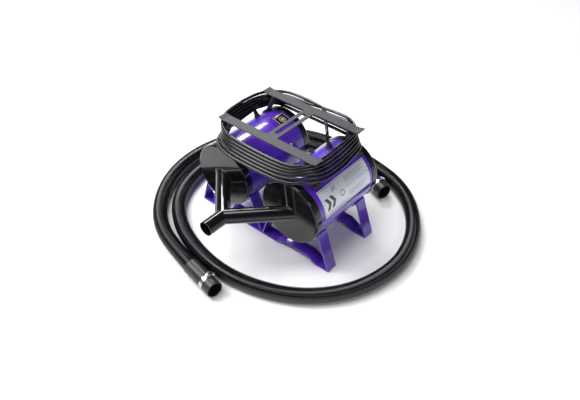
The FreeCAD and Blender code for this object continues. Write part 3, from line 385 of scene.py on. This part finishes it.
# The rest of the cords' sizes are in millimetres, with Y as the depth behind the cases' front face.
DEPTH_0 = FRONT_Y * 1000
STRAND_0_Z = 284.8
STRAND_RISE = 8.0
BACK_OFFSETS = (282.0, 290.0, 282.0, 290.0, 298.0, 306.0)

# Where the lowest turn runs on each side, and the step from it to the next turn up. The right side has a
# place at its front end and one at its back end.
TURN_SIDES = {"left": (-172.0, -5.4), "front": (-10.0, 5.4), "right_front": (197.0, -6.8),
              "right_back": (187.0, -5.4)}

# The posts lean in: X and Z of a post's foot, its lean for each unit of height, and the depths of the front
# and rear posts' outer sides.
POST_FOOT = (169.7, 276.0)
POST_SLOPE = 0.467
FRONT_POST = 46.4
REAR_POST = 268.9

# The widest corners, how far a side bows out, and the distances from a corner's apex to its control
# points, as shares of its radius.
FRONT_CORNER = 110.0
REAR_CORNER = 90.0
SIDE_BOW = 6.0
FRONT_BOW = 8.0
NEAR_SHARE = 0.586
FAR_SHARE = 1.414


def at_depth(points):
    """Points given with their depth behind the front face in place of Y."""
    return [mm(x, depth + DEPTH_0, z) for x, depth, z in points]


def strand(number):
    """The height of one turn round the posts and its place on every side. The lowest turn is number 0."""
    places = {side: first + step * number for side, (first, step) in TURN_SIDES.items()}
    return {**places, "back": BACK_OFFSETS[number], "z": STRAND_0_Z + STRAND_RISE * number}


def corner_radius(x, depth, z):
    """The largest radius with which a cord turns here and still clears the post, up to a limit."""
    gap_x = abs(x) - POST_FOOT[0] + POST_SLOPE * (z - POST_FOOT[1])
    gap_y = FRONT_POST - depth if depth < FRONT_POST else depth - REAR_POST
    room = gap_x + gap_y - CORD_R * 1000
    widest = room + math.sqrt(room ** 2 - gap_x ** 2 - gap_y ** 2 + (CORD_R * 1000) ** 2)
    return min(widest, FRONT_CORNER if depth < FRONT_POST else REAR_CORNER)


def side_bow(inward):
    """How far the middle of a side is pushed out, where inward points from that side to the middle."""
    return inward * -(FRONT_BOW if inward.y > 0 else SIDE_BOW)


def corner_points(x, depth, z, from_side):
    """The four control points of one corner, from the left or right side, or else from the front or rear."""
    radius = corner_radius(x, depth, z)
    inward_x = Vector((-1 if x > 0 else 1, 0))
    inward_y = Vector((0, 1 if depth < FRONT_POST else -1))
    along, ahead = (inward_y, inward_x) if from_side else (inward_x, inward_y)
    corner = Vector((x, depth))
    route = [corner + along * (radius * FAR_SHARE) + side_bow(ahead), corner + along * (radius * NEAR_SHARE),
             corner + ahead * (radius * NEAR_SHARE), corner + ahead * (radius * FAR_SHARE) + side_bow(along)]
    return at_depth([(*place, z) for place in route])


def left_coil():
    """Three turns, from the left side round the rear, the right and the front, each over the last."""
    points = []
    for number in (0, 1, 2):
        turn = strand(number)
        z = turn["z"]
        points += corner_points(turn["left"], turn["back"], z, True)
        points += corner_points(turn["right_back"], turn["back"], z, False)
        points += corner_points(turn["right_front"], turn["front"], z, True)
        points += corner_points(turn["left"], turn["front"], z, False)
    return points


def right_coil():
    """Three turns from the top down, from the rear round the left, the front and the right."""
    points = []
    for number in (5, 4, 3):
        turn = strand(number)
        z = turn["z"]
        points += corner_points(turn["left"], turn["back"], z, False)
        points += corner_points(turn["left"], turn["front"], z, True)
        points += corner_points(turn["right_front"], turn["front"], z, False)
        points += corner_points(turn["right_back"], turn["back"], z, True)
    return points


left_points = at_depth([(-187.6, 210.0, 280.0), (-190.2, 210.4, 284.8), (-190.4, 216.0, 286.2),
                        (-184.5, 232.0, 285.0)])
left_points += left_coil()
left_points += at_depth([(-198.0, 225.0, 297.0), (-197.0, 262.0, 296.0), (-189.0, 287.0, 294.0),
                         (-180.0, 303.0, 289.0), (-172.0, 315.0, 280.0), (-170.3, 320.0, 266.0),
                         (-170.3, 320.0, 246.5)])
right_points = at_depth([(101.3, 212.0, 290.9), (98.4, 212.0, 302.5), (93.7, 216.2, 312.9),
                         (86.7, 223.2, 320.4), (76.8, 233.2, 324.2), (64.3, 247.0, 326.3),
                         (50.8, 261.4, 326.8), (36.0, 280.0, 326.8), (16.0, 300.0, 326.5),
                         (-8.0, 306.0, 325.5)])
right_points += right_coil()[:-1]
right_points += at_depth([(114.4, 299.5, 296.8), (102.3, 305.5, 275.9), (102.3, 306.2, 253.6)])

for name, points in (("left", left_points), ("right", right_points)):
    curve = nurbs_curve(f"cord_{name}", points, CORD_R)
    cord = add_object(f"cord_{name}", curve, "cord_sheath")
    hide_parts(f"power_cord_{name}", f"cord_coil_{name}")


# ---------------------------------------------------------------- glands, welds, clamps and marks

# Each gland: the angle from +X in which it points out of its case, and its tip.
GLANDS = {"left": (118.5, left_points[0]), "right": (104.0, right_points[0])}
GLAND_GROOVES = 5


def gland(angle, tip):
    """A flange, a nut with a rounded shoulder, and a tapering sleeve with five grooves."""
    out = Vector((math.cos(math.radians(angle)), 0, math.sin(math.radians(angle))))
    profile = [(0.010, -0.0200), (0.010, -0.0174), (0.0094, -0.0168), (0.0082, -0.0168)]
    for i in range(GLAND_GROOVES):
        at = -0.0155 + i * 0.0030
        size = 0.0080 - i * 0.00042
        groove = size - 0.0012
        profile += [(size, at), (size - 0.0001, at + 0.0016), (groove, at + 0.0020), (groove, at + 0.0026)]
    profile += [(0.0058, -0.0006), (0.0052, 0.0)]
    return mesh_from("gland", lambda bm: lathe(bm, profile, tip, out))


for name, (angle, tip) in GLANDS.items():
    piece = add_object(f"gland_{name}", gland(angle, tip), "gland_rubber")
    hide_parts(f"cord_gland_{name}")

# A duct leaves its case at 45 degrees, so that its edge on the front face is an ellipse.
DUCT_R = 0.02225
DUCT_HALF_WIDTH = DUCT_R * math.sqrt(2)
BEAD_R = 0.0017
BEAD_RIPPLE = 0.10
BEAD_POINTS = 160


def duct_weld(side):
    turns = [2 * math.pi * i / BEAD_POINTS for i in range(BEAD_POINTS)]
    rim = [Vector((side * CASE_X + math.cos(t) * DUCT_HALF_WIDTH, FRONT_Y, AXIS_Z + math.sin(t) * DUCT_R))
           for t in turns]
    return mesh_from("duct_weld", lambda bm: add_bead(bm, rim, BEAD_R, BEAD_RIPPLE))


for name, side in (("left", -1), ("right", 1)):
    add_object(f"duct_weld_{name}", duct_weld(side), "black_paint")

CLAMP_OUTER = 0.0259
CLAMP_FROM_MOUTH = 0.036
SLOT_COUNT = 40
SLOT_SIZE = (0.0072, 0.0013, 0.0002)
SLOT_SLANT = Matrix.Rotation(math.radians(14), 3, "Z")

# The outer and the inner cuff: X and Y of its mouth in metres, and the way it points.
CUFF_MOUTHS = (((0.074, -0.301), (0.985, -0.17)), ((0.197, 0.358), (0.93, -0.37)))


def clamp_slots(mouth, heading):
    """The row of slanted slots round a worm-drive band, shown as thin dark inlays: partly the black cuff
    seen through the slots, partly painted shade inside them.
    """
    ahead = Vector((*heading, 0)).normalized()
    middle = Vector((*mouth, CUFF_Z / 1000)) - ahead * CLAMP_FROM_MOUTH
    side = Vector((-ahead.y, ahead.x, 0))

    def build(bm):
        for i in range(SLOT_COUNT):
            turn = 2 * math.pi * i / SLOT_COUNT
            out = side * math.cos(turn) + Vector((0, 0, 1)) * math.sin(turn)
            across = ahead.cross(out)
            turned = Matrix((ahead, across, out)).transposed()
            add_block(bm, middle + out * CLAMP_OUTER, SLOT_SIZE, turned @ SLOT_SLANT)
    return mesh_from("clamp_slots", build, smooth=False)


for number, (mouth, heading) in enumerate(CUFF_MOUTHS):
    # The slots' dark inlays are partly the black cuff beneath and partly painted shade inside the holes.
    add_object(f"clamp_slots_{number}", clamp_slots(mouth, heading), "print_dark")

# The inner and outer radius of the print on a case, and the cells along each edge of a printed patch.
PRINT_LOW = TUBE_R + 0.0004
PRINT_HIGH = TUBE_R + 0.00062
CELLS = 6


def curved_quad(bm, side, corners):
    """A thin printed patch on a case. Corners are (angle in degrees, depth in mm), in order round it."""
    def place(u, v, radius):
        low = [a * (1 - u) + b * u for a, b in zip(corners[0], corners[1])]
        high = [a * (1 - u) + b * u for a, b in zip(corners[3], corners[2])]
        angle, depth = [a * (1 - v) + b * v for a, b in zip(low, high)]
        turn = math.radians(angle)
        x = side * CASE_X + math.cos(turn) * radius
        return (x, FRONT_Y + depth / 1000, AXIS_Z + math.sin(turn) * radius)

    steps = [i / CELLS for i in range(CELLS + 1)]
    sheets = [[[bm.verts.new(place(u, v, radius)) for v in steps] for u in steps]
              for radius in (PRINT_LOW, PRINT_HIGH)]
    for sheet in sheets:
        for i in range(CELLS):
            for j in range(CELLS):
                bm.faces.new((sheet[i][j], sheet[i + 1][j], sheet[i + 1][j + 1], sheet[i][j + 1]))
    inner, outer = sheets
    for i in range(CELLS):
        for edge in (lambda sheet, k: sheet[k][0], lambda sheet, k: sheet[k][CELLS],
                     lambda sheet, k: sheet[0][k], lambda sheet, k: sheet[CELLS][k]):
            bm.faces.new((edge(inner, i), edge(inner, i + 1), edge(outer, i + 1), edge(outer, i)))


def bar(angle, depth, height, length, lean=0.0):
    """A straight printed bar, by its middle: height round the case, length along it, leaning at its top."""
    half = math.degrees(height / 2 / (TUBE_R * 1000))
    return [(angle - half, depth - length / 2 - lean / 2), (angle - half, depth + length / 2 - lean / 2),
            (angle + half, depth + length / 2 + lean / 2), (angle + half, depth - length / 2 + lean / 2)]


def ring_of(angle, depth, inner, outer, count=24):
    """A printed ring, as a row of small patches."""
    def at(radius, turn):
        rise = math.degrees(radius * math.sin(turn) / (TUBE_R * 1000))
        return (angle + rise, depth + radius * math.cos(turn))

    patches = []
    for i in range(count):
        first = math.radians(360.0 * i / count)
        second = math.radians(360.0 * (i + 1) / count)
        patches.append([at(inner, first), at(outer, first), at(outer, second), at(inner, second)])
    return patches


def frame_of_bars(angles, depths, line):
    """Four bars round a field that runs from one angle to another and from one depth to another."""
    angle, depth = sum(angles) / 2, sum(depths) / 2
    height = math.radians(angles[1] - angles[0]) * TUBE_R * 1000
    length = depths[1] - depths[0]
    return [bar(angles[0], depth, line, length), bar(angles[1], depth, line, length),
            bar(angle, depths[0], height, line), bar(angle, depths[1], height, line)]


def print_on(name, side, patches, material):
    """Prints patches on the right case where side is 1, and on the left one where it is -1."""
    def build(bm):
        for corners in patches:
            curved_quad(bm, side, corners)
    add_object(name, mesh_from(name, build, smooth=False), material)


# The label's plain marks: a border inside its edges, two chevrons, three slanted strokes and a ring, then
# two blocks of rows like lines of text with no letters, and three rules.
LABEL_ANGLES = (3.0, 52.0)
LABEL_DEPTHS = (42.0, 256.0)
ANGLE_MARGIN = 2.2
DEPTH_MARGIN = 4.0
border = frame_of_bars((LABEL_ANGLES[0] + ANGLE_MARGIN, LABEL_ANGLES[1] - ANGLE_MARGIN),
                       (LABEL_DEPTHS[0] + DEPTH_MARGIN, LABEL_DEPTHS[1] - DEPTH_MARGIN), 0.9)
chevrons = [bar(24.0 + 5.2 * way, 64.0 + 21.0 * i, 18.0, 12.0, -11.0 * way)
            for i in range(2) for way in (-1, 1)]
slants = [bar(41.0, 94.0 + 6.0 * i, 13.0, 2.2, 4.0) for i in range(3)]
marks = border + chevrons + slants + ring_of(25.0, 128.0, 7.0, 9.2)
print_on("label_border", 1, marks, "print_dark")
rows = [bar(45.0 - 2.8 * i, 196.0 - 5.0 * (i % 2), 1.8, 88.0 - 10.0 * (i % 2)) for i in range(4)]
rows += [bar(19.0 - 2.4 * i, 196.0 - 3.0 * i, 1.3, 84.0 - 6.0 * i) for i in range(4)]
rows += [bar(31.5, 196.0, 0.5, 104.0), bar(29.8, 196.0, 0.5, 104.0), bar(9.0, 104.0, 1.4, 92.0)]
print_on("label_rows", 1, rows, "print_grey")

# The badge's plain marks: a border, and a ring round a disc.
BADGE_ANGLE = 72.0
BADGE_DEPTH = 240.0
BADGE_HALF_ANGLE = 12.0
BADGE_HALF_LENGTH = 21.0
badge_frame = frame_of_bars((BADGE_ANGLE - BADGE_HALF_ANGLE, BADGE_ANGLE + BADGE_HALF_ANGLE),
                            (BADGE_DEPTH - BADGE_HALF_LENGTH, BADGE_DEPTH + BADGE_HALF_LENGTH), 1.3)
print_on("badge_border", -1, badge_frame, "print_white")
emblem = ring_of(BADGE_ANGLE, BADGE_DEPTH, 9.0, 11.0, 28) + ring_of(BADGE_ANGLE, BADGE_DEPTH, 0.01, 5.5, 16)
print_on("badge_emblem", -1, emblem, "print_tan")


# ---------------------------------------------------------------- camera, light and floor

CAMERA_AT = Vector((0.9624, -1.0273, 1.3209))
CAMERA_YAW = math.radians(40.256)
CAMERA_PITCH = math.radians(40.565)
CAMERA_LENS = 37.99
FLOOR_Z = -0.0004
FLOOR_HALF = 9


def add_camera():
    """The photo's camera, level from side to side and looking down by its pitch."""
    right = Vector((math.cos(CAMERA_YAW), math.sin(CAMERA_YAW), 0))
    level = Vector((math.sin(CAMERA_YAW), -math.cos(CAMERA_YAW), 0))
    back = level * math.cos(CAMERA_PITCH) + Vector((0, 0, math.sin(CAMERA_PITCH)))
    up = back.cross(right)
    data = bpy.data.cameras.new("camera")
    data.sensor_width = 36.0
    data.lens = CAMERA_LENS
    data.clip_start = 0.01
    data.clip_end = 100.0
    camera = bpy.data.objects.new("camera", data)
    rotation = Matrix((right, up, back)).transposed().to_4x4()
    camera.matrix_world = Matrix.Translation(CAMERA_AT) @ rotation
    bpy.context.scene.collection.objects.link(camera)
    bpy.context.scene.camera = camera


def add_area(name, place, target, size, power):
    """A flat light that points at the target. Its size is in metres and its power in watts."""
    data = bpy.data.lights.new(name, "AREA")
    data.shape = "RECTANGLE"
    data.size, data.size_y = size
    data.energy = power
    light = bpy.data.objects.new(name, data)
    light.location = place
    aim = Vector(target) - Vector(place)
    light.rotation_euler = aim.to_track_quat("-Z", "Y").to_euler()
    bpy.context.scene.collection.objects.link(light)


def add_sun(name, toward, strength, spread_angle):
    """A wide, even light. Toward points from the object to it, and the angle is its width in radians."""
    data = bpy.data.lights.new(name, "SUN")
    data.energy = strength
    data.angle = spread_angle
    light = bpy.data.objects.new(name, data)
    light.rotation_euler = Vector(toward).to_track_quat("Z", "Y").to_euler()
    bpy.context.scene.collection.objects.link(light)


def add_floor():
    """A wide sheet of white paper, just under the feet."""
    def build(bm):
        places = ((-1, -1), (1, -1), (1, 1), (-1, 1))
        bm.faces.new([bm.verts.new((x * FLOOR_HALF, y * FLOOR_HALF, FLOOR_Z)) for x, y in places])

    data = mesh_from("floor", build, smooth=False)
    material, tree, shader = new_material("floor_paper")
    slow = noise(tree, 1.2, 3.0)
    paper = blend_colours(tree, slow, (0.86, 0.86, 0.875), (0.89, 0.89, 0.90))
    tree.links.new(paper, shader.inputs["Base Color"])
    shader.inputs["Roughness"].default_value = 0.55
    data.materials.append(material)
    floor = bpy.data.objects.new("floor", data)
    bpy.context.scene.collection.objects.link(floor)


def add_world():
    """A dim studio that is lighter towards the horizon than overhead."""
    world = bpy.data.worlds.new("studio")
    bpy.context.scene.world = world
    world.use_nodes = True
    tree = world.node_tree
    background = tree.nodes["Background"]
    coords = tree.nodes.new("ShaderNodeTexCoord")
    split = tree.nodes.new("ShaderNodeSeparateXYZ")
    tree.links.new(coords.outputs["Generated"], split.inputs["Vector"])
    level = spread(tree, split.outputs["Z"], low=0.0, high=1.0, start=-0.2, end=1.0)
    sky = blend_colours(tree, level, (0.42, 0.43, 0.46), (0.03, 0.03, 0.035), start=0.15, end=0.55)
    tree.links.new(sky, background.inputs["Color"])
    background.inputs["Strength"].default_value = 0.8


add_camera()
add_floor()
add_world()
add_sun("overhead", toward=(-0.35, -0.25, 1.0), strength=2.9, spread_angle=0.9)
add_area("key", place=(-1.3, -1.0, 2.0), target=(0, 0, 0.1), size=(0.5, 1.1), power=26)
add_area("fill", place=(1.9, -0.6, 1.5), target=(0, 0, 0.15), size=(0.9, 0.5), power=12)
add_area("rim", place=(-1.5, 1.35, 2.0), target=(0, 0, 0.15), size=(1.1, 0.45), power=32)
bpy.context.scene.view_settings.view_transform = "Standard"


[tuple(p) for p, _, _ in even_steps(hose_line, 0.01)]
